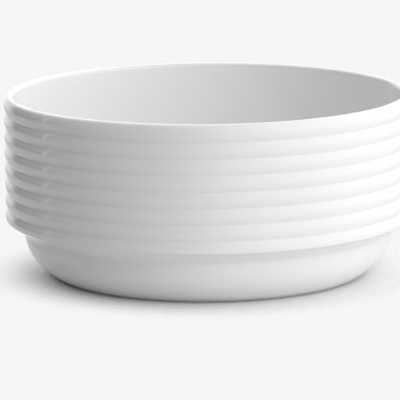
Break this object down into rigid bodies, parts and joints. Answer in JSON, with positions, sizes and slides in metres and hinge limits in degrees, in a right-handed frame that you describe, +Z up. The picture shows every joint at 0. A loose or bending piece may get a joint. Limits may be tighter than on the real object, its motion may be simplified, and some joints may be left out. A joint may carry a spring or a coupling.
{
  "type": "shaving bowl",
  "caption": "Round ribbed porcelain shaving bowl with a stepped smooth lower wall and a low foot ring, white glaze inside and out, open at the top.",
  "frame": {"origin": "centre of the foot ring's bearing face, on the surface that the bowl stands on", "axes": "+Z up along the bowl's axis of turning, out of its mouth; X and Y level and equivalent"},
  "size_m": [0.13, 0.13, 0.058],
  "materials": {
    "bare_porcelain": "fired, unglazed and finely ground",
    "white_glaze": "glossy white",
    "recess_glaze": "glossy white, slightly thinner"
  },
  "bodies": {
    "root": {"porcelain_body": "bare_porcelain", "glaze_coat": "white_glaze", "foot_recess_glaze": "recess_glaze"}
  },
  "joints": []
}
